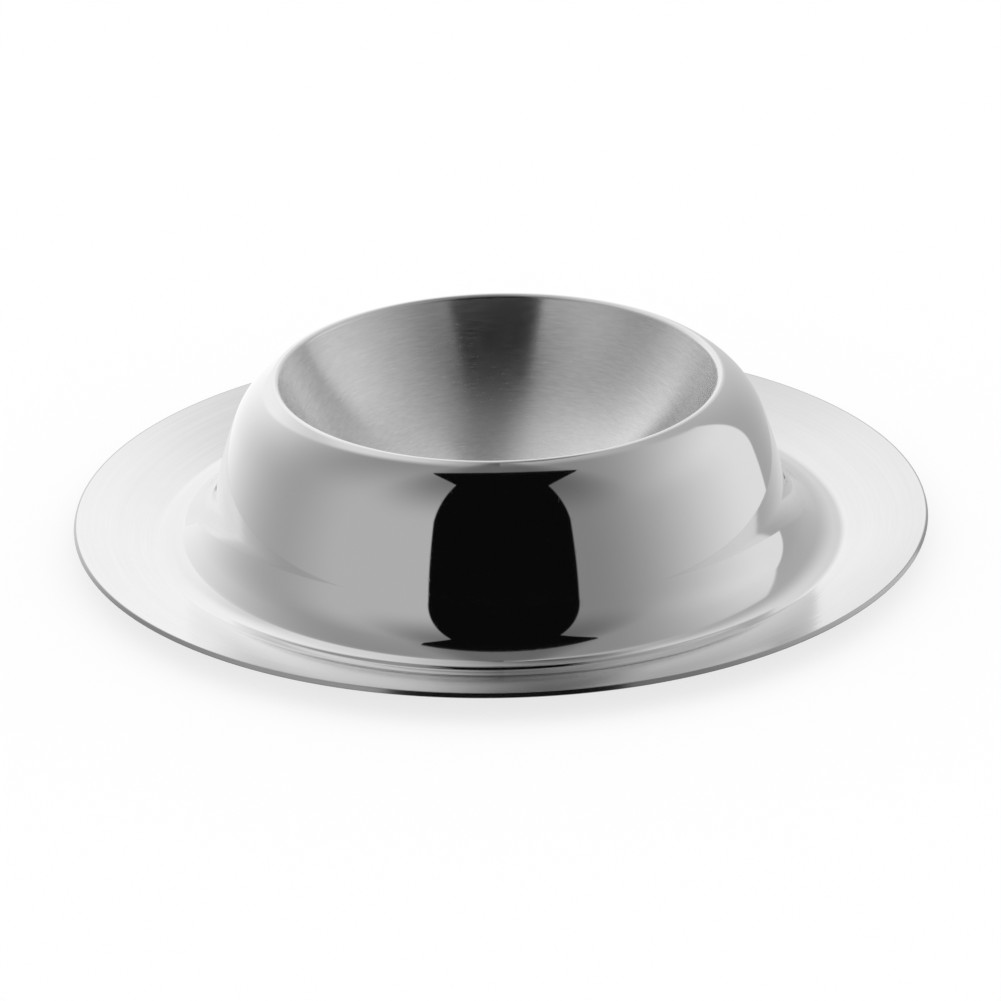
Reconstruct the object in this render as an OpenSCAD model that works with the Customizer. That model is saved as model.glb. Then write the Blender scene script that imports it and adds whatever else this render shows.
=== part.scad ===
// Egg cup pressed from thin stainless steel: a dished saucer brim that runs through a foot ring
// up into a hollow collar, and a spherical well for the egg, joined flush to the collar's lip.
// Both pieces are figures of revolution about Z. The foot stands on z = 0.

/* [Overall] */
// Diameter over the brim
brim_d = 85; // [78:0.5:96]
// Height of the lip's crest above the table
cup_h = 16.8; // [15.8:0.1:18.4]

/* [Sheet] */
// Thickness of the outer shell's sheet
shell_t = 0.5; // [0.3:0.05:0.8]
// Thickness of the well's sheet
well_t = 0.5; // [0.3:0.05:0.8]

/* [Brim and foot] */
// Rise of the brim above level, in degrees
brim_angle = 17; // [12:0.5:20]
// Width of the flat ring that the cup stands on
foot_flat_w = 0.6; // [0.4:0.1:1.2]
// Radius of the bend between that flat and the brim, on the upper side of the sheet
foot_out_r = 2; // [1.2:0.1:3]
// Radius of the bend between that flat and the apron, on the upper side of the sheet
foot_in_r = 3; // [2:0.1:4]
// Radius of the two corners of the brim's cut edge
cut_corner_r = 0.1; // [0.05:0.01:0.14]

/* [Collar] */
// Diameter of the lip at its crest
lip_d = 44.2; // [40:0.2:48]
// Radius inside the lip's bend, under the sheet
lip_bend_r = 0.1; // [0.1:0.05:0.4]
// Reach from the lip's crest outwards to the flat of the foot
collar_reach = 11.1; // [10.4:0.1:12]
// Slope of the shoulder beside the lip, in degrees below level
shoulder_angle = 31; // [28:0.5:34]
// Slope of the wall at its top, in degrees below level
wall_top_angle = 68; // [65:0.5:71]
// Slope of the wall at its foot, in degrees below level
wall_foot_angle = 79.5; // [77:0.5:83]
// Radius of the hollow sweep from the wall into the apron, on the outside
sweep_r = 5.4; // [4.4:0.1:6.4]
// Slope of the apron below that sweep, in degrees below level
apron_top_angle = 37; // [34:0.5:40]
// Slope of the apron at the foot's bend, in degrees below level
apron_foot_angle = 31; // [28:0.5:33]
// Radius of the apron's gentle hollow
apron_r = 15; // [12:0.5:20]

/* [Well] */
// Height of the well's underside above the table
well_lift = 1; // [0.5:0.1:4]
// Clearance between the edges of well and lip, filled by the flush seam
seam_gap = 0.02; // [0.01:0.01:0.05]

/* [Hidden] */
$fn = 120;
// Largest turn between two points of a bend, in degrees
bend_step = 5;
level = 90;
half_turn = 180;

// A surface's angle is that of its upper normal from the outward radial direction
shoulder_a = level - shoulder_angle;
wall_top_a = level - wall_top_angle;
wall_foot_a = level - wall_foot_angle;
apron_top_a = level - apron_top_angle;
apron_foot_a = level - apron_foot_angle;
brim_a = level + brim_angle;

// Lip: a tight bend over the crest, from the seam to the shoulder
lip_r = lip_bend_r + shell_t;
lip_c = [lip_d / 2, cup_h - lip_r];

// Foot: two hollow bends with the flat between them
foot_in_c = [lip_d / 2 + collar_reach, shell_t + foot_in_r];
foot_out_c = [foot_in_c[0] + foot_flat_w, shell_t + foot_out_r];

// Collar: the radii of shoulder and wall that let the bends from lip to foot meet
shoulder_turn = dir(wall_top_a) - dir(shoulder_a);
wall_turn = dir(wall_foot_a) - dir(wall_top_a);
sweep_bend = sweep_r * (dir(wall_foot_a) - dir(apron_top_a));
apron_bend = apron_r * (dir(apron_top_a) - dir(apron_foot_a));
lip_end = lip_c + lip_r * dir(shoulder_a);
apron_end = foot_in_c - foot_in_r * dir(apron_foot_a);
to_close = apron_end - lip_end - sweep_bend - apron_bend;
shoulder_r = cross(to_close, wall_turn) / cross(shoulder_turn, wall_turn);
wall_r = cross(shoulder_turn, to_close) / cross(shoulder_turn, wall_turn);
shoulder_c = lip_end - shoulder_r * dir(shoulder_a);
wall_c = shoulder_c + (shoulder_r - wall_r) * dir(wall_top_a);
sweep_c = wall_c + (wall_r + sweep_r) * dir(wall_foot_a);
apron_c = sweep_c + (apron_r - sweep_r) * dir(apron_top_a);

// Brim: the middle of the sheet from the foot's bend out to the edge, which is cut square to the
// sheet; the lower of its two corners reaches furthest out
half_t = shell_t / 2;
cut_a = brim_a - level;
brim_start = foot_out_c - (foot_out_r + half_t) * dir(brim_a);
corner_inset = (half_t - cut_corner_r) * dir(brim_a);
edge_x = brim_d / 2 - cut_corner_r + corner_inset[0];
edge_c = brim_start + (edge_x - brim_start[0]) / cos(cut_a) * dir(cut_a);

// Well: the slope at which a bowl of this width and depth meets the lip, and its sphere
well_angle = 2 * atan((cup_h - well_lift - well_t) / (lip_d / 2));
well_a = level + well_angle;
seam = lip_c + lip_r * dir(well_a);
well_r = seam[0] / sin(well_angle);
well_c = [0, seam[1] + well_r * cos(well_angle)];
well_edge_a = well_a - seam_gap / well_r * half_turn / PI;

// Unit vector at an angle from the outward radial direction
function dir(a) = [cos(a), sin(a)];

// Points of a bend about centre c, from angle a0 to angle a1; a hollow bend has a negative radius
function bend(c, r, a0, a1) =
    let (n = ceil(abs(a1 - a0) / bend_step))
    [for (i = [0 : n]) c + r * dir(a0 + (a1 - a0) * i / n)];

// Bends of the shell from the seam down to the foot and out to the brim, t below the upper side
function shell_bends(t) = [
    each bend(lip_c, lip_r - t, well_a, shoulder_a),
    each bend(shoulder_c, shoulder_r - t, shoulder_a, wall_top_a),
    each bend(wall_c, wall_r - t, wall_top_a, wall_foot_a),
    each bend(sweep_c, -sweep_r - t, wall_foot_a, apron_top_a),
    each bend(apron_c, -apron_r - t, apron_top_a, apron_foot_a),
    each bend(foot_in_c, -foot_in_r - t, apron_foot_a, level),
    each bend(foot_out_c, -foot_out_r - t, level, brim_a)
];

function reversed(points) = [for (i = [len(points) - 1 : -1 : 0]) points[i]];

// Polished outer shell: lip, shoulder, wall, apron, foot ring and brim from one sheet
module outer_shell() {
    color([0.80, 0.80, 0.81])
    rotate_extrude()
    polygon([
        each shell_bends(0),
        each bend(edge_c + corner_inset, cut_corner_r, brim_a, cut_a),
        each bend(edge_c - corner_inset, cut_corner_r, cut_a, cut_a - level),
        each reversed(shell_bends(shell_t))
    ]);
}

// Brushed well: a spherical bowl whose edge meets the lip's edge in a flush seam
module egg_well() {
    color([0.62, 0.62, 0.63])
    rotate_extrude()
    polygon([
        each bend(well_c, -well_r, level, well_edge_a),
        each bend(well_c, -well_r - well_t, well_edge_a, level)
    ]);
}

outer_shell();
egg_well();
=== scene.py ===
import math

import bpy
import numpy as np
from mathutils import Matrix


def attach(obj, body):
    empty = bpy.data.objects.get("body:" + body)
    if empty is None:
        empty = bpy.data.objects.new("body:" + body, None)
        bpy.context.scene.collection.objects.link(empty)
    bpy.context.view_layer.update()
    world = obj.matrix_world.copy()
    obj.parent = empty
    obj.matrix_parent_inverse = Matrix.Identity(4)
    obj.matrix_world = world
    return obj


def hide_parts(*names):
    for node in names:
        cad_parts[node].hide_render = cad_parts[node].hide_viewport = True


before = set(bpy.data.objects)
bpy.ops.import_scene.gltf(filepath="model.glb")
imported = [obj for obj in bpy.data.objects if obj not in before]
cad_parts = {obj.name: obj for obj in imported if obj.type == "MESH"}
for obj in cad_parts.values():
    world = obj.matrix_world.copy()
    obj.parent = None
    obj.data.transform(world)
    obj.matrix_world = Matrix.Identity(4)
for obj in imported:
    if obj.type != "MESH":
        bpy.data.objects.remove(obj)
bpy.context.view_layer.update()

scene = bpy.context.scene
scene.view_settings.view_transform = "Standard"
millimetre = 0.001

# Camera: where it stands, seen from a point on the cup's axis
cameraView = {
    "aimHeight": 3.0,          # mm, the point on the axis in the middle of the picture
    "distance": 357.4,         # mm from that point
    "elevation": 23.92,        # degrees above the table
    "roll": 1.19,              # degrees, the right side of the cup is a little higher in the picture
    "lens": 128.5,             # mm
    "sensor": 36,              # mm wide
    "nearest": 10.0,           # mm, nothing closer is seen
}


# The camera stands in front of the cup on a circle about the aim, and turns about its own line of sight
def makeCamera(view):
    lens = bpy.data.cameras.new("camera")
    lens.lens = view["lens"]
    lens.sensor_width = view["sensor"]
    lens.clip_start = view["nearest"] * millimetre
    camera = bpy.data.objects.new("camera", lens)
    scene.collection.objects.link(camera)
    rise = math.radians(view["elevation"])
    reach = view["distance"] * millimetre
    height = view["aimHeight"] * millimetre + reach * math.sin(rise)
    camera.location = (0, -reach * math.cos(rise), height)
    camera.rotation_mode = "XYZ"
    camera.rotation_euler = (math.radians(90) - rise, 0, 0)
    camera.rotation_euler.rotate_axis("Z", math.radians(-view["roll"]))
    scene.camera = camera


makeCamera(cameraView)
print("camera set")


# A number in a node tree, with arithmetic: each step adds one Math node
class Wire:
    def __init__(self, tree, socket):
        self.tree = tree
        self.socket = socket

    def __add__(self, other):
        return arithmetic("ADD", self, other)

    def __sub__(self, other):
        return arithmetic("SUBTRACT", self, other)

    def __rsub__(self, other):
        return arithmetic("SUBTRACT", other, self)

    def __mul__(self, other):
        return arithmetic("MULTIPLY", self, other)

    def __truediv__(self, other):
        return arithmetic("DIVIDE", self, other)

    def __pow__(self, other):
        return arithmetic("POWER", self, other)

    __radd__ = __add__
    __rmul__ = __mul__


def plug(tree, value, socket):
    if isinstance(value, Wire):
        tree.links.new(value.socket, socket)
    else:
        socket.default_value = value


def treeOf(values):
    return next(value.tree for value in values if isinstance(value, Wire))


def arithmetic(operation, *values):
    tree = treeOf(values)
    node = tree.nodes.new("ShaderNodeMath")
    node.operation = operation
    for value, socket in zip(values, node.inputs):
        plug(tree, value, socket)
    return Wire(tree, node.outputs[0])


def absolute(value):
    return arithmetic("ABSOLUTE", value)


def root(value):
    return arithmetic("SQRT", value)


def larger(a, b):
    return arithmetic("MAXIMUM", a, b)


def smaller(a, b):
    return arithmetic("MINIMUM", a, b)


# 1 where a is above b, else 0
def above(a, b):
    return arithmetic("GREATER_THAN", a, b)


# 0 at low, 1 at high, and an even S between them; low may be the higher number
def smoothStep(value, low, high):
    tree = value.tree
    node = tree.nodes.new("ShaderNodeMapRange")
    node.interpolation_type = "SMOOTHSTEP"
    for number, socket in zip((value, low, high), node.inputs):
        plug(tree, number, socket)
    return Wire(tree, node.outputs[0])


# a where share is 0, b where it is 1
def blend(share, a, b):
    tree = treeOf((share, a, b))
    node = tree.nodes.new("ShaderNodeMix")
    plug(tree, share, node.inputs[0])
    plug(tree, a, node.inputs[2])
    plug(tree, b, node.inputs[3])
    return Wire(tree, node.outputs[0])


def separate(tree, socket):
    node = tree.nodes.new("ShaderNodeSeparateXYZ")
    tree.links.new(socket, node.inputs[0])
    return [Wire(tree, output) for output in node.outputs]


def combine(tree, *values):
    node = tree.nodes.new("ShaderNodeCombineXYZ")
    for value, socket in zip(values, node.inputs):
        plug(tree, value, socket)
    return Wire(tree, node.outputs[0])


# Place on the object, in millimetres or another unit
def placeOf(tree, unitsPerMetre=1 / millimetre):
    place = separate(tree, tree.nodes.new("ShaderNodeTexCoord").outputs["Object"])
    return [part * unitsPerMetre for part in place]


# Studio: what the steel mirrors, on a dome round the cup. A grey tent stands round the front and the
# sides, its ceiling ends above the cup, and a dark opening is cut in it where the camera stands. Light
# comes from behind it. A place on the dome has an azimuth from the camera's side and an elevation, both in
# degrees, and for the parts overhead a sideways and a backward distance on a level plane one unit above
# the middle. Where a value is a pair, the fade lies between its two numbers.
studio = {
    "radius": 200.0,           # mm
    "segments": 96,
    "rings": 48,
    "fill": 1.05,              # what matt surfaces get
    "horizon": (-24, -15),     # elevations of the fade from the shade under the cup's level to the tent
    "below": 0.17,             # that shade, and its level straight below
    "belowSteep": 0.6,
    "belowTurn": (-75, -35),
}


# A place on the dome, in units of its radius and in the measures named above
class DomePlace:
    def __init__(self, tree, radius):
        self.x, self.y, self.z = placeOf(tree, 1 / (radius * millimetre))
        self.azimuth = arithmetic("DEGREES", arithmetic("ARCTAN2", self.x, self.y * -1))
        self.elevation = arithmetic("DEGREES", arithmetic("ARCSINE", self.z))
        height = larger(self.z, 0.02)          # never zero
        self.across = self.x / height
        self.back = self.y / height
        self.onRight = above(self.x, 0)


tent = {
    "wallLeft": 0.46,          # the wall's level left of the opening, at the side and behind,
    "wallLeftSide": 0.37,
    "wallLeftBack": 1.03,
    "wallLeftTurns": (60, 88, 165),    # with the azimuths at which these are reached
    "wallRight": 0.24,         # and on the right, beside the opening and at the tent's edge
    "wallRightSide": 0.78,
    "wallRightTurn": (30, 114),
    "ceiling": 0.27,           # in the middle, at the left and at the right
    "ceilingLeft": 0.25,
    "ceilingRight": 0.18,
    "ceilingFrom": (24, 81),   # elevations between which wall turns into ceiling
    "ceilingSlant": 0.2,       # least height, in radii, for its change towards the sides
    "leftLimit": 174,          # azimuth of the tent's left edge, and its fade
    "leftFade": (-6, 3),
    "rightLimit": 119,         # and of its right edge, which leans outwards between two elevations
    "rightFade": (-1, 0.6),
    "rightLean": 0.11,
    "rightLeanFrom": 49,
    "rightLeanTo": -15,
    "edgesBelow": 45,          # elevation under which these two edges count
    "hemPlace": -0.12,         # the ceiling's hem: this far behind the zenith
    "hemCurve": 0.6,           # and further behind with the square of the sideways distance
    "hemFade": (-0.04, 0.09),
}


# The tent's wall round the azimuth, and its ceiling
def tentLevel(place, values):
    front, sideways, behind = values["wallLeftTurns"]
    toLeft = place.azimuth * -1
    leftWall = blend(smoothStep(toLeft, front, sideways), values["wallLeft"], values["wallLeftSide"])
    leftWall = blend(smoothStep(toLeft, sideways, behind), leftWall, values["wallLeftBack"])
    turning = smoothStep(place.azimuth, *values["wallRightTurn"])
    wall = blend(place.onRight, leftWall, blend(turning, values["wallRight"], values["wallRightSide"]))
    lean = smaller(absolute(place.x) / larger(place.z, values["ceilingSlant"]), 1)
    side = blend(place.onRight, values["ceilingLeft"], values["ceilingRight"])
    ceiling = blend(lean, values["ceiling"], side)
    return blend(smoothStep(place.elevation, *values["ceilingFrom"]), wall, ceiling)


# Degrees past the tent's right edge
def pastRightEdge(place, values):
    top, bottom = values["rightLeanFrom"], values["rightLeanTo"]
    lowness = smaller(larger(top - place.elevation, 0), top - bottom)
    return place.azimuth - values["rightLimit"] - lowness * values["rightLean"]


# 1 where the tent has ended: behind its curved hem overhead, and past its edge on either side
def outsideTent(place, values):
    across, back = place.across, place.back
    spread = larger(root(across * across + back * back), 1)
    hem = (back - across * across * values["hemCurve"] - values["hemPlace"]) / spread
    leftEdge = smoothStep(place.azimuth * -1 - values["leftLimit"], *values["leftFade"])
    rightEdge = smoothStep(pastRightEdge(place, values), *values["rightFade"])
    edges = blend(place.onRight, leftEdge, rightEdge) * above(values["edgesBelow"], place.elevation)
    return larger(smoothStep(hem, *values["hemFade"]), edges)


backLight = {
    "light": 0.94,             # low down
    "climb": (15, 45),         # elevations of the fade to the light overhead, and those left of the middle
    "climbLeft": (24, 78),
    "climbLeftBegins": (-0.9, -0.5),   # sideways distances where that part begins and ends
    "climbLeftEnds": (0.1, -0.2),
    "overLeft": 0.66,          # the light overhead at the left, with its rise further back
    "overLeftRise": 0.2,
    "overLeftRiseFrom": 0.5,
    "overLeftRiseTo": 1.5,
    "overRight": 0.07,         # and at the right
    "overRightRise": 0.5,
    "overRightRiseTo": 1.5,
    "overTurn": (0.15, -0.35), # sideways distances between right and left
    "overFar": 0.1,            # a little more far out on the right
    "overFarFrom": (0.5, 1.1),
    "haze": 0.64,              # the most light behind the right side, above the grey zone
    "hazeEnds": (166, 154),    # azimuth
    "hazeFrom": (18, 32),      # elevation
    "greyEdge": 0.44,          # a grey zone low behind the right side: beside the tent and further off,
    "greyBack": 0.76,
    "greyReach": 50,           # degrees from the one to the other
    "greyTop": (70, 58),       # elevations of its upper fade at this azimuth, lower with more azimuth
    "greyTopTurn": 141,
    "greyTopSlope": 0.34,
    "greyEnds": (179, 163),    # azimuth
    "greyDepth": 0.1,          # how much darker it is low down
    "greyLow": (45, 12),
}


# The light behind: full low down, and further up left of the middle, greyer overhead and towards the
# right, where a grey zone stands low
def lightBehind(place, values):
    azimuth, elevation, across = place.azimuth, place.elevation, place.across
    leftBack = smaller(larger(place.back - values["overLeftRiseFrom"], 0),
                       values["overLeftRiseTo"] - values["overLeftRiseFrom"])
    overLeft = values["overLeft"] + leftBack * values["overLeftRise"]
    rightBack = smaller(larger(place.back, 0), values["overRightRiseTo"])
    overRight = values["overRight"] + rightBack * values["overRightRise"]
    over = blend(smoothStep(across, *values["overTurn"]), overRight, overLeft)
    over = over + smoothStep(across, *values["overFarFrom"]) * values["overFar"]
    onLeft = smoothStep(across, *values["climbLeftBegins"]) * smoothStep(across, *values["climbLeftEnds"])
    climbLeft = smoothStep(elevation, *values["climbLeft"])
    climb = blend(onLeft, smoothStep(elevation, *values["climb"]), climbLeft)
    light = smaller(blend(climb, values["light"], over), values["light"])
    haze = smoothStep(azimuth, *values["hazeEnds"]) * smoothStep(elevation, *values["hazeFrom"])
    light = blend(haze * place.onRight, light, smaller(light, values["haze"]))
    greyLine = elevation + (azimuth - values["greyTopTurn"]) * values["greyTopSlope"]
    grey = smoothStep(greyLine, *values["greyTop"]) * place.onRight
    grey = grey * smoothStep(azimuth, *values["greyEnds"])
    fromEdge = smoothStep(pastRightEdge(place, tent), 0, values["greyReach"])
    greyLevel = blend(fromEdge, values["greyEdge"], values["greyBack"])
    greyLevel = greyLevel * (1 - smoothStep(elevation, *values["greyLow"]) * values["greyDepth"])
    return blend(grey, light, greyLevel)


opening = {
    "dark": 0.003,             # inside it
    "left": 0.49,              # its width to the left and to the right per unit forwards
    "right": 0.51,
    "top": 0.01,               # half its width at the zenith's height
    "end": -0.25,              # where it ends overhead, towards the camera
    "edge": (1.015, 0.985),    # its soft edge, as a share of the half width
    "barLeft": 0.33,           # the bar across its end, to the left and to the right
    "barRight": 0.39,
    "barFrom": -0.29,          # where the bar begins to narrow, by how much, and where it ends
    "barTaper": 0.27,
    "barTo": -0.6,
    "shade": 0.46,             # the soft shade beside the opening
    "shadeReach": 2.5,         # its reach beyond the edge, as a share of the half width
    "shadeFrom": (14, 62),     # elevation
}


# How far a place lies to the side, as a share of the opening's half width there
def besideOpening(place, values):
    slope = blend(place.onRight, values["left"], values["right"])
    half = root((place.y * slope) ** 2 + (place.z * values["top"]) ** 2)
    return absolute(place.x) / larger(half, 0.001)     # never by zero


# The soft shade in front, on either side of the opening
def openingShade(place, beside, values):
    shade = smoothStep(beside, 1 + values["shadeReach"], 1)
    shade = shade * smoothStep(place.elevation, *values["shadeFrom"])
    return shade * values["shade"] * above(0, place.y)


# 1 in the dark opening and in the bar across its end
def openingMask(place, beside, values):
    hole = smoothStep(beside, *values["edge"])
    taper = larger(values["barFrom"] - place.back, 0) * values["barTaper"]
    barEnd = blend(place.onRight, values["barLeft"], values["barRight"]) - taper
    bar = above(barEnd, absolute(place.across)) * above(place.back, values["barTo"])
    return larger(hole, bar) * above(values["end"], place.back)


# The dome's light depends on the place on it alone
def domeLight(tree, values):
    place = DomePlace(tree, values["radius"])
    beside = besideOpening(place, opening)
    level = blend(outsideTent(place, tent), tentLevel(place, tent), lightBehind(place, backLight))
    level = level * (1 - openingShade(place, beside, opening))
    level = blend(openingMask(place, beside, opening), level, opening["dark"])
    below = blend(smoothStep(place.elevation, *values["belowTurn"]), values["belowSteep"], values["below"])
    return blend(smoothStep(place.elevation, *values["horizon"]), below, level)


# The dome is seen in the cup's steel alone. The camera sees white, and matt surfaces get an even fill. A
# point of the dome is radius times (cos e sin a, cos e cos a, sin e).
def makeStudio(values):
    segments, rings = values["segments"], values["rings"]
    around = np.linspace(0, 2 * np.pi, segments + 1)
    upward = np.linspace(-np.pi / 2, np.pi / 2, rings + 1)
    a, e = np.meshgrid(around, upward)
    points = np.stack([np.cos(e) * np.sin(a), np.cos(e) * np.cos(a), np.sin(e)], -1).reshape(-1, 3)
    j, i = np.meshgrid(np.arange(segments), np.arange(rings))
    low = i * (segments + 1) + j
    high = low + segments + 1
    faces = np.stack([low, low + 1, high + 1, high], -1).reshape(-1, 4)
    mesh = bpy.data.meshes.new("dome")
    mesh.from_pydata((points * values["radius"] * millimetre).tolist(), [], faces.tolist())
    dome = bpy.data.objects.new("dome", mesh)
    scene.collection.objects.link(dome)
    material = bpy.data.materials.new("domeLight")
    material.use_nodes = True
    tree = material.node_tree
    tree.nodes.clear()
    glow = tree.nodes.new("ShaderNodeEmission")
    plug(tree, domeLight(tree, values), glow.inputs["Color"])
    output = tree.nodes.new("ShaderNodeOutputMaterial")
    tree.links.new(glow.outputs[0], output.inputs["Surface"])
    material.cycles.emission_sampling = "NONE"
    mesh.materials.append(material)
    dome.visible_camera = False
    dome.visible_diffuse = False
    dome.visible_shadow = False

    world = bpy.data.worlds.new("studio")
    scene.world = world
    world.use_nodes = True
    tree = world.node_tree
    path = tree.nodes.new("ShaderNodeLightPath")
    seen = blend(Wire(tree, path.outputs["Is Camera Ray"]), values["fill"], 1.0)
    plug(tree, seen, tree.nodes["Background"].inputs["Color"])
    world.cycles.sampling_method = "NONE"      # an even surround needs no picked directions


tableTop = {
    "size": 4.0,               # m
    "tone": 0.95,
    "roughness": 0.9,
    "whiteShare": 0.72,        # of white light, to the camera alone
}


# A plain pale table top, level with the foot. To the camera it is part white light, which keeps its shadow
# soft, and from below it is clear.
def makeFloor(values):
    mesh = bpy.data.meshes.new("floor")
    half = values["size"] / 2
    corners = [(-half, -half, 0), (half, -half, 0), (half, half, 0), (-half, half, 0)]
    mesh.from_pydata(corners, [], [(0, 1, 2, 3)])
    floor = bpy.data.objects.new("floor", mesh)
    scene.collection.objects.link(floor)
    material = bpy.data.materials.new("tableTop")
    material.use_nodes = True
    tree = material.node_tree
    shader = tree.nodes["Principled BSDF"]
    shader.inputs["Base Color"].default_value = (values["tone"], values["tone"], values["tone"], 1)
    shader.inputs["Roughness"].default_value = values["roughness"]
    shader.inputs["Specular IOR Level"].default_value = 0
    white = tree.nodes.new("ShaderNodeEmission")
    clear = tree.nodes.new("ShaderNodeBsdfTransparent")
    path = tree.nodes.new("ShaderNodeLightPath")
    side = tree.nodes.new("ShaderNodeNewGeometry")
    whitened = tree.nodes.new("ShaderNodeMixShader")
    plug(tree, Wire(tree, path.outputs["Is Camera Ray"]) * values["whiteShare"], whitened.inputs[0])
    tree.links.new(shader.outputs[0], whitened.inputs[1])
    tree.links.new(white.outputs[0], whitened.inputs[2])
    sided = tree.nodes.new("ShaderNodeMixShader")
    tree.links.new(side.outputs["Backfacing"], sided.inputs[0])
    tree.links.new(whitened.outputs[0], sided.inputs[1])
    tree.links.new(clear.outputs[0], sided.inputs[2])
    tree.links.new(sided.outputs[0], tree.nodes["Material Output"].inputs["Surface"])
    mesh.materials.append(material)
    floor.visible_glossy = False


makeStudio(studio)
makeFloor(tableTop)
print("studio and floor made")


# The unit vector at that many degrees from the outward radial direction
def unit(angle):
    turn = np.radians(angle)
    return np.stack([np.cos(turn), np.sin(turn)], -1)


# Profile points c + r n(a) for angles a from start to end; each row is r, z and the normal n(a).
# A hollow bend has a negative radius.
def bend(centre, radius, start, end, step=2.5):
    count = max(2, int(math.ceil(abs(end - start) / step)) + 1)
    normals = unit(np.linspace(start, end, count))
    return np.hstack([np.asarray(centre) + radius * normals, normals])


# The same rows with their normals on the sheet's other side
def flipped(piece):
    return piece * [1, 1, -1, -1]


# The pieces end to end, with the straight runs between them cut to steps of at most gap, and the length
# along the profile at each row
def joinProfile(pieces, gap=0.6, nearest=1e-6):
    rows = np.vstack(pieces)
    apart = np.hypot(*np.diff(rows[:, :2], axis=0).T) > nearest
    rows = rows[np.concatenate([[True], apart])]
    steps = np.hypot(*np.diff(rows[:, :2], axis=0).T)
    length = np.concatenate([[0], np.cumsum(steps)])
    runs = zip(length[:-1], length[1:], steps)
    extra = [np.linspace(a, b, int(s // gap) + 2)[1:-1] for a, b, s in runs if s > gap]
    where = np.sort(np.concatenate([length] + extra))
    out = np.stack([np.interp(where, length, column) for column in rows.T], 1)
    out[:, 2:] /= np.hypot(out[:, 2], out[:, 3])[:, None]
    return out, where


# Each pair of outward and upward parts goes round the axis: (r cos t, r sin t, z) at every turn t
def roundAxis(pairs, turn):
    outward, upward = pairs[:, :1], pairs[:, 1:]
    flat = (len(pairs), len(turn))
    return np.stack([outward * np.cos(turn), outward * np.sin(turn), np.broadcast_to(upward, flat)], -1)


# 1 where the surface looks down, 0 where it looks up, and between the two at an upright cut
def underShare(upward):
    return np.clip(0.5 - 4 * upward, 0, 1)


# A mesh from whole arrays: sizes are the corners of each face, loops the points at these corners, and uvs
# their turn and length on the map "around", the length in hundredths
def makeMesh(name, points, normals, loops, uvs, sizes, numbers):
    mesh = bpy.data.meshes.new(name)
    mesh.vertices.add(len(points))
    mesh.vertices.foreach_set("co", (points * millimetre).astype(np.float32).ravel())
    mesh.loops.add(len(loops))
    mesh.loops.foreach_set("vertex_index", loops.astype(np.int32))
    mesh.polygons.add(len(sizes))
    starts = np.concatenate([[0], np.cumsum(sizes)[:-1]])
    mesh.polygons.foreach_set("loop_start", starts.astype(np.int32))
    mesh.update(calc_edges=True)
    mesh.validate()
    layer = mesh.uv_layers.new(name="around")
    layer.data.foreach_set("uv", (uvs * [1, 0.01]).astype(np.float32).ravel())
    for label, values in numbers.items():
        attribute = mesh.attributes.new(label, "FLOAT", "POINT")
        attribute.data.foreach_set("value", values.astype(np.float32))
    mesh.polygons.foreach_set("use_smooth", np.ones(len(sizes), bool))
    mesh.normals_split_custom_set_from_vertices(normals.astype(np.float32))
    return mesh


# Each profile row becomes a ring. A closed loop's last row is its first, and an open one begins and ends
# on the axis, where one point closes it. Each point carries its length along the profile, "station", and
# its share of the under side, "under".
def revolve(name, rows, lengths, closedLoop, segments=384):
    kept = slice(0, -1) if closedLoop else slice(1, -1)
    turn = np.arange(segments) * 2 * np.pi / segments
    rings = len(rows[kept])
    points = roundAxis(rows[kept, :2], turn).reshape(-1, 3)
    normals = roundAxis(rows[kept, 2:], turn).reshape(-1, 3)
    station = np.repeat(lengths[kept], segments)
    under = np.repeat(underShare(rows[kept, 3]), segments)
    count = rings if closedLoop else rings - 1
    i = np.arange(count)[:, None]
    j = np.arange(segments)
    k = (j + 1) % segments
    low, high = i * segments, ((i + 1) % rings) * segments
    quads = np.stack([low + j, low + k, high + k, high + j], -1).reshape(-1, 4)
    steps = lengths if closedLoop else lengths[1:-1]
    here, there, middle = j / segments, (j + 1) / segments, (j + 0.5) / segments
    u0, u1, v0, v1 = np.broadcast_arrays(here, there, steps[:-1, None], steps[1:, None])
    corners = [np.stack(pair, -1) for pair in ((u0, v0), (u1, v0), (u1, v1), (u0, v1))]
    loops = [quads.reshape(-1)]
    uvs = [np.stack(corners, 2).reshape(-1, 2)]
    sizes = [np.full(len(quads), 4)]
    if not closedLoop:
        first, last, base = len(points), len(points) + 1, (rings - 1) * segments
        ends = rows[[0, -1]]
        onAxis = np.zeros(2)
        points = np.vstack([points, np.stack([onAxis, onAxis, ends[:, 1]], -1)])
        normals = np.vstack([normals, np.stack([onAxis, onAxis, ends[:, 3]], -1)])
        station = np.append(station, lengths[[0, -1]])
        under = np.append(under, underShare(ends[:, 3]))
        fans = [(first, k, j, there, here, lengths[0], lengths[1]),
                (last, base + j, base + k, here, there, lengths[-1], lengths[-2])]
        for pole, a, b, turnA, turnB, poleLength, ringLength in fans:
            loops.append(np.stack([np.full(segments, pole), a, b], -1).reshape(-1))
            u = np.stack([middle, turnA, turnB], -1)
            v = np.broadcast_to([poleLength, ringLength, ringLength], (segments, 3))
            uvs.append(np.stack([u, v], -1).reshape(-1, 2))
            sizes.append(np.full(segments, 3))
    loops, uvs, sizes = np.concatenate(loops), np.vstack(uvs), np.concatenate(sizes)
    mesh = makeMesh(name, points, normals, loops, uvs, sizes, {"station": station, "under": under})
    piece = bpy.data.objects.new(name, mesh)
    scene.collection.objects.link(piece)
    print(name, "has", int((sizes - 2).sum()), "triangles")
    return piece


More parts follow.
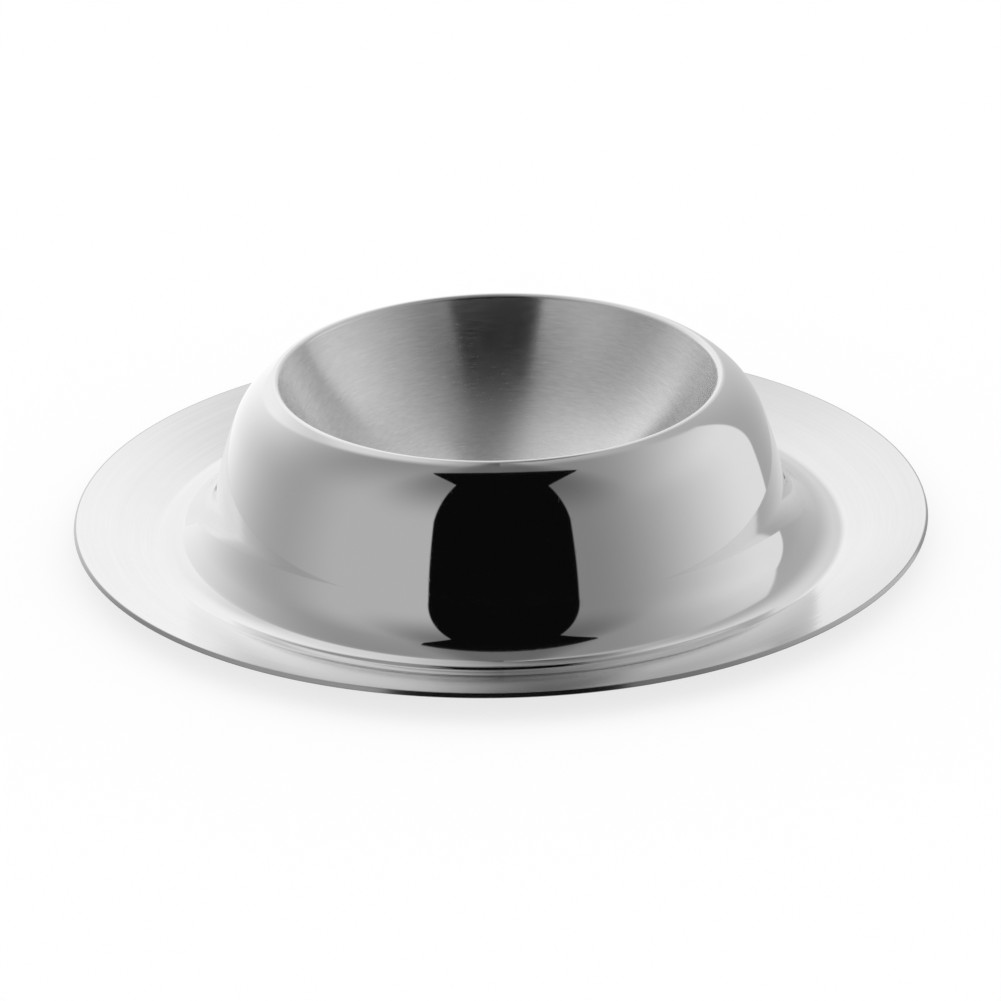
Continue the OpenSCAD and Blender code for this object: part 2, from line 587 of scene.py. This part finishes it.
# Outer shell: lip, shoulder, wall, apron, foot ring and brim, pressed from one sheet. Lengths are in
# millimetres and slopes in degrees below level.
shell = {
    "sheet": 0.5,
    "brimDiameter": 85.0,
    "height": 16.8,
    "lipDiameter": 44.2,
    "lipBend": 0.1,
    "collarReach": 11.1,
    "shoulderSlope": 31.0,
    "wallTopSlope": 68.0,
    "wallFootSlope": 79.5,
    "sweepRadius": 5.4,
    "apronTopSlope": 37.0,
    "apronFootSlope": 31.0,
    "apronRadius": 15.0,
    "footInRadius": 3.0,
    "footFlat": 0.6,
    "footOutRadius": 2.0,
    "brimRise": 17.0,
    "cutCorner": 0.1,          # the two corners of the brim's square cut edge
}
well = {
    "sheet": 0.5,
    "lift": 1.0,
    "seamGap": 0.004,          # a hairline, finer than the clearance between the solids
}


def cross(a, b):
    return a[0] * b[1] - a[1] * b[0]


# The well's slope at the lip is twice the slope of the chord from its floor to the lip
wellRise = shell["height"] - well["lift"] - well["sheet"]
wellSlope = 2 * math.degrees(math.atan(wellRise / (shell["lipDiameter"] / 2)))
wellAngle = 90 + wellSlope
lipRadius = shell["lipBend"] + shell["sheet"]
lipCentre = np.array([shell["lipDiameter"] / 2, shell["height"] - lipRadius])
seam = lipCentre + lipRadius * unit(wellAngle)


# The sheet's upper side is a chain of bends from the seam over the lip, down the shoulder and the wall,
# through the sweep and the apron into the foot, and out along the straight brim to an edge cut square to
# the sheet. The radii of shoulder and wall follow from the way that is left for them. The under side is
# the same chain, one sheet lower.
def makeShell(values):
    sheet = values["sheet"]
    shoulder, wallTop = 90 - values["shoulderSlope"], 90 - values["wallTopSlope"]
    wallFoot = 90 - values["wallFootSlope"]
    apronTop, apronFoot = 90 - values["apronTopSlope"], 90 - values["apronFootSlope"]
    brim = 90 + values["brimRise"]
    sweepRadius, apronRadius = values["sweepRadius"], values["apronRadius"]
    footInRadius, footOutRadius = values["footInRadius"], values["footOutRadius"]
    footIn = np.array([values["lipDiameter"] / 2 + values["collarReach"], sheet + footInRadius])
    footOut = np.array([footIn[0] + values["footFlat"], sheet + footOutRadius])
    lipEnd = lipCentre + lipRadius * unit(shoulder)
    apronEnd = footIn - footInRadius * unit(apronFoot)
    sweepBend = sweepRadius * (unit(wallFoot) - unit(apronTop))
    apronBend = apronRadius * (unit(apronTop) - unit(apronFoot))
    toClose = apronEnd - lipEnd - sweepBend - apronBend
    shoulderTurn = unit(wallTop) - unit(shoulder)
    wallTurn = unit(wallFoot) - unit(wallTop)
    shoulderRadius = cross(toClose, wallTurn) / cross(shoulderTurn, wallTurn)
    wallRadius = cross(shoulderTurn, toClose) / cross(shoulderTurn, wallTurn)
    shoulderCentre = lipEnd - shoulderRadius * unit(shoulder)
    wallCentre = shoulderCentre + (shoulderRadius - wallRadius) * unit(wallTop)
    sweepCentre = wallCentre + (wallRadius + sweepRadius) * unit(wallFoot)
    apronCentre = sweepCentre + (apronRadius - sweepRadius) * unit(apronTop)

    def side(t):
        return [bend(lipCentre, lipRadius - t, wellAngle, shoulder, step=5),
                bend(shoulderCentre, shoulderRadius - t, shoulder, wallTop),
                bend(wallCentre, wallRadius - t, wallTop, wallFoot, step=0.8),
                bend(sweepCentre, -sweepRadius - t, wallFoot, apronTop),
                bend(apronCentre, -apronRadius - t, apronTop, apronFoot, step=1),
                bend(footIn, -footInRadius - t, apronFoot, 90),
                bend(footOut, -footOutRadius - t, 90, brim)]

    halfSheet, corner = sheet / 2, values["cutCorner"]
    brimWay = unit(brim - 90)
    brimStart = footOut - (footOutRadius + halfSheet) * unit(brim)
    inset = (halfSheet - corner) * unit(brim)
    brimReach = values["brimDiameter"] / 2 - corner + inset[0] - brimStart[0]
    edgeMiddle = brimStart + brimWay * brimReach / brimWay[0]
    edge = [bend(edgeMiddle + inset, corner, brim, brim - 90, step=10),
            bend(edgeMiddle - inset, corner, brim - 90, brim - 180, step=10)]
    underSide = [flipped(piece[::-1]) for piece in side(sheet)[::-1]]
    rows, length = joinProfile(side(0) + edge + underSide + [side(0)[0][:1]])
    return revolve("outer_shell_sheet", rows[::-1], length[-1] - length[::-1], True)


# A spherical bowl inside, its parallel sphere outside, and a plain cut between them at the seam
def makeWell(values):
    innerRadius = seam[0] / math.sin(math.radians(wellSlope))
    centre = np.array([0, seam[1] + innerRadius * math.cos(math.radians(wellSlope))])
    end = wellAngle - math.degrees(values["seamGap"] / innerRadius)
    inner = bend(centre, -innerRadius, 90, end, step=1.5)
    outer = flipped(bend(centre, -innerRadius - values["sheet"], end, 90, step=1.5))
    rows, length = joinProfile([inner, outer])
    rows[[0, -1], 0] = 0
    return revolve("egg_well_bowl", rows[::-1], length[-1] - length[::-1], False)


shellPiece = makeShell(shell)
wellPiece = makeWell(well)
print("shell and well made")


# A shader node group with named number inputs; fill(tree, inputs) gives back its named outputs
def makeGroup(name, inputs, fill):
    tree = bpy.data.node_groups.new(name, "ShaderNodeTree")
    for label, value in inputs.items():
        socket = tree.interface.new_socket(name=label, in_out="INPUT", socket_type="NodeSocketFloat")
        socket.default_value = value
    entry = tree.nodes.new("NodeGroupInput")
    results = fill(tree, {label: Wire(tree, entry.outputs[label]) for label in inputs})
    for label in results:
        tree.interface.new_socket(name=label, in_out="OUTPUT", socket_type="NodeSocketFloat")
    leave = tree.nodes.new("NodeGroupOutput")
    for label, wire in results.items():
        plug(tree, wire, leave.inputs[label])
    return tree


def useGroup(tree, group, **values):
    node = tree.nodes.new("ShaderNodeGroup")
    node.node_tree = group
    for label, value in values.items():
        plug(tree, value, node.inputs[label])
    return {output.name: Wire(tree, output) for output in node.outputs}


def noise(tree, vector, detail=2.0, roughness=0.5):
    node = tree.nodes.new("ShaderNodeTexNoise")
    plug(tree, vector, node.inputs["Vector"])
    node.inputs["Scale"].default_value = 1
    node.inputs["Detail"].default_value = detail
    node.inputs["Roughness"].default_value = roughness
    return Wire(tree, node.outputs["Fac"])


def attributeOf(tree, name):
    node = tree.nodes.new("ShaderNodeAttribute")
    node.attribute_name = name
    return Wire(tree, node.outputs["Fac"])


grainPattern = {
    "detail": 3,               # of the fine lines' noise, and its roughness
    "roughness": 0.7,
    "bandTurns": 0.8,          # broad bands: how much they change round the axis, and per mm of profile
    "bandsPerMm": 0.9,
}


# Fine lines round the axis, as a turned brush or polishing wheel leaves them, and broader bands
def fillTurnedGrain(tree, inputs):
    x, y = placeOf(tree)[:2]
    radius = larger(root(x * x + y * y), 0.001)        # never zero
    turns, station = inputs["turns"], inputs["station"]
    fine = combine(tree, x / radius * turns, y / radius * turns, station * inputs["linesPerMm"])
    turns, perMm = grainPattern["bandTurns"], grainPattern["bandsPerMm"]
    broad = combine(tree, x / radius * turns, y / radius * turns, station * perMm)
    fine = noise(tree, fine, grainPattern["detail"], grainPattern["roughness"])
    return {"grain": fine, "band": noise(tree, broad)}


wearPattern = {
    "cloudDetail": 4,                  # of the smudges' noise, and its roughness
    "cloudRoughness": 0.6,
    "smudgeFrom": (0.42, 0.68),        # where that noise becomes a smudge
    "hairTurns": (20, 75, 140),        # degrees, the hairlines' directions
    "hairPerMm": (0.18, 7, 0.6),       # their noise's scale lengthwise, sideways and upwards
    "hairFrom": (0.70, 0.76),          # where it becomes a scratch
}


# Marks of use: cloudy smudges, and sparse hairline scratches in three directions
def fillHandlingMarks(tree, inputs):
    x, y, z = placeOf(tree)
    size = inputs["smudgesPerMm"]
    cloud = combine(tree, x * size, y * size, z * size)
    cloud = noise(tree, cloud, wearPattern["cloudDetail"], wearPattern["cloudRoughness"])
    scratch = None
    alongPerMm, offPerMm, upPerMm = wearPattern["hairPerMm"]
    for turn in wearPattern["hairTurns"]:
        c, s = math.cos(math.radians(turn)), math.sin(math.radians(turn))
        along, off = x * c + y * s, y * c - x * s
        hair = combine(tree, along * alongPerMm + turn, off * offPerMm, z * upPerMm)
        hair = smoothStep(noise(tree, hair, 1), *wearPattern["hairFrom"])
        scratch = hair if scratch is None else larger(scratch, hair)
    smudge = smoothStep(cloud, *wearPattern["smudgeFrom"])
    return {"smudge": smudge, "scratch": scratch * inputs["scratches"]}


turnedGrain = makeGroup("turned grain", {"linesPerMm": 6.0, "turns": 2.0, "station": 0.0}, fillTurnedGrain)
handlingMarks = makeGroup("handling marks", {"smudgesPerMm": 0.12, "scratches": 1.0}, fillHandlingMarks)


# Base colour from a tone, near neutral
def plugTone(tree, tone, shader, blueShare=1.006):
    color = combine(tree, tone, tone, tone * blueShare)
    plug(tree, color, shader.inputs["Base Color"])


# Height in hundredths of a millimetre
def plugBump(tree, height, shader):
    bump = tree.nodes.new("ShaderNodeBump")
    bump.inputs["Strength"].default_value = 1
    bump.inputs["Distance"].default_value = 0.01 * millimetre
    plug(tree, height, bump.inputs["Height"])
    tree.links.new(bump.outputs[0], shader.inputs["Normal"])


# Steel whose fine grooves run round the axis: the tangent follows the map "around"
def startSteel(name, anisotropy):
    material = bpy.data.materials.new(name)
    material.use_nodes = True
    tree = material.node_tree
    shader = tree.nodes["Principled BSDF"]
    shader.inputs["Metallic"].default_value = 1
    shader.inputs["Anisotropic"].default_value = anisotropy
    shader.inputs["Anisotropic Rotation"].default_value = 0.25     # a quarter turn, along the grooves
    tangent = tree.nodes.new("ShaderNodeTangent")
    tangent.direction_type = "UV_MAP"
    tangent.uv_map = "around"
    tree.links.new(tangent.outputs[0], shader.inputs["Tangent"])
    return material, tree, shader


# The steels: each has a tone, a roughness and a height, with the shares of grain, bands, smudges and
# scratches that change them
polished = {
    "linesPerMm": 5.0,
    "turns": 2.5,              # how much the grain changes round the axis
    "smudgesPerMm": 0.1,
    "scratches": 0.4,
    "anisotropy": 0.886,
    "tone": 0.9,               # and what smudges take from it and scratches add
    "smudgeTone": 0.012,
    "scratchTone": 0.02,
    "satinPaintedLightAndGrain": 0.03,         # painted light: the satin brim is painted this much lighter, with its real grain and bands in it
    "satinGrainTone": 0.08,
    "satinBandTone": 0.04,
    "underTone": 0.08,         # how much darker the under side is, with the grain in it
    "underGrainTone": 0.2,
    "edgeTone": 0.35,          # how much darker the cut edge is
    "mirror": 0.035,           # roughness of collar and foot, with the smudges in it
    "mirrorSmudge": 0.01,
    "satin": 0.115,            # of the brim
    "satinGrain": 0.06,
    "underSide": 0.34,         # of the under side
    "underBand": 0.12,
    "underSmudge": 0.05,
    "cutEdge": 0.25,           # of the cut edge
    "cutEdgeGrain": 0.1,
    "scratch": 0.03,           # what scratches add to it everywhere
    "satinGrainHeight": 0.2,   # heights, in hundredths of a millimetre
    "satinBandHeight": 1.6,
    "underGrainHeight": 0.3,
    "scratchDepth": 0.05,
    "satinFrom": (31.5, 35.0),         # mm from the axis between which mirror turns into satin
    "edgeFrom": (42.22, 42.28),        # and the brim into its cut edge
    "brushedTo": (22.05, 21.85),       # the well's brushing runs up to the lip's crest
}
brushed = {
    "linesPerMm": 4.0,
    "turns": 12.0,
    "smudgesPerMm": 0.09,
    "scratches": 0.2,
    "anisotropy": 0.97,
    "tone": 0.87,
    "grainTone": 0.36,
    "bandTone": 0.05,
    "smudgeTone": 0.02,
    "underTone": 0.08,
    "roughness": 0.24,
    "grainRoughness": 0.08,
    "smudgeRoughness": 0.02,
    "underSide": 0.36,         # roughness of the under side
    "underSmudge": 0.04,
    "grainHeight": 0.06,       # in hundredths of a millimetre
    "scratchDepth": 0.03,
}


# Grain and bands, which lie evenly about zero, and smudges and scratches, which are 0 where there are none
def surfaceMarks(tree, values):
    lines = useGroup(tree, turnedGrain, linesPerMm=values["linesPerMm"], turns=values["turns"],
                     station=attributeOf(tree, "station"))
    marks = useGroup(tree, handlingMarks, smudgesPerMm=values["smudgesPerMm"],
                     scratches=values["scratches"])
    return lines["grain"] - 0.5, lines["band"] - 0.5, marks["smudge"], marks["scratch"]


# Tone, roughness and height of the well's brushing, which the lip's inner side shares
def brushing(values, grain, band, smudge, scratch):
    tone = 1 + grain * values["grainTone"] + band * values["bandTone"] - smudge * values["smudgeTone"]
    roughness = values["roughness"] + grain * values["grainRoughness"] + smudge * values["smudgeRoughness"]
    height = grain * values["grainHeight"] - scratch * values["scratchDepth"]
    return values["tone"] * tone, roughness, height


def makePolishedSteel(values):
    material, tree, shader = startSteel("polishedSteel", values["anisotropy"])
    x, y = placeOf(tree)[:2]
    radius = root(x * x + y * y)
    under = attributeOf(tree, "under")
    grain, band, smudge, scratch = surfaceMarks(tree, values)
    satin = smoothStep(radius, *values["satinFrom"]) * (1 - under)
    cutEdge = smoothStep(radius, *values["edgeFrom"])
    lipInside = smoothStep(radius, *values["brushedTo"]) * (1 - under)

    # The satin's tone: painted light that lifts the brim and its reflection in the wall, with its real
    # grain and bands
    satinPaintedLightAndGrain = values["satinPaintedLightAndGrain"] + grain * values["satinGrainTone"] + band * values["satinBandTone"]
    tone = 1 + satin * satinPaintedLightAndGrain - smudge * values["smudgeTone"] + scratch * values["scratchTone"]
    tone = tone - under * (values["underTone"] - grain * values["underGrainTone"])
    tone = values["tone"] * tone * (1 - cutEdge * values["edgeTone"])

    mirrorRoughness = values["mirror"] + smudge * values["mirrorSmudge"]
    roughness = blend(satin, mirrorRoughness, values["satin"] + grain * values["satinGrain"])
    underRoughness = values["underSide"] + band * values["underBand"] + smudge * values["underSmudge"]
    roughness = blend(under, roughness, underRoughness)
    roughness = blend(cutEdge, roughness, values["cutEdge"] + grain * values["cutEdgeGrain"])
    roughness = roughness + scratch * values["scratch"]

    height = grain * (satin * values["satinGrainHeight"] + under * values["underGrainHeight"])
    height = height + band * satin * values["satinBandHeight"] - scratch * values["scratchDepth"]

    lipTone, lipRoughness, lipHeight = brushing(brushed, grain, band, smudge, scratch)
    plugTone(tree, blend(lipInside, tone, lipTone), shader)
    plug(tree, blend(lipInside, roughness, lipRoughness), shader.inputs["Roughness"])
    plugBump(tree, blend(lipInside, height, lipHeight), shader)
    return material


def makeBrushedSteel(values):
    material, tree, shader = startSteel("brushedSteel", values["anisotropy"])
    under = attributeOf(tree, "under")
    grain, band, smudge, scratch = surfaceMarks(tree, values)
    tone, roughness, height = brushing(values, grain, band, smudge, scratch)
    plugTone(tree, tone * (1 - under * values["underTone"]), shader)
    underRoughness = values["underSide"] + smudge * values["underSmudge"]
    plug(tree, blend(under, roughness, underRoughness), shader.inputs["Roughness"])
    plugBump(tree, height, shader)
    return material


shellPiece.data.materials.append(makePolishedSteel(polished))
wellPiece.data.materials.append(makeBrushedSteel(brushed))
print("steel finished")

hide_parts("outer_shell")
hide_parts("egg_well")
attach(shellPiece, "root")
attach(wellPiece, "root")
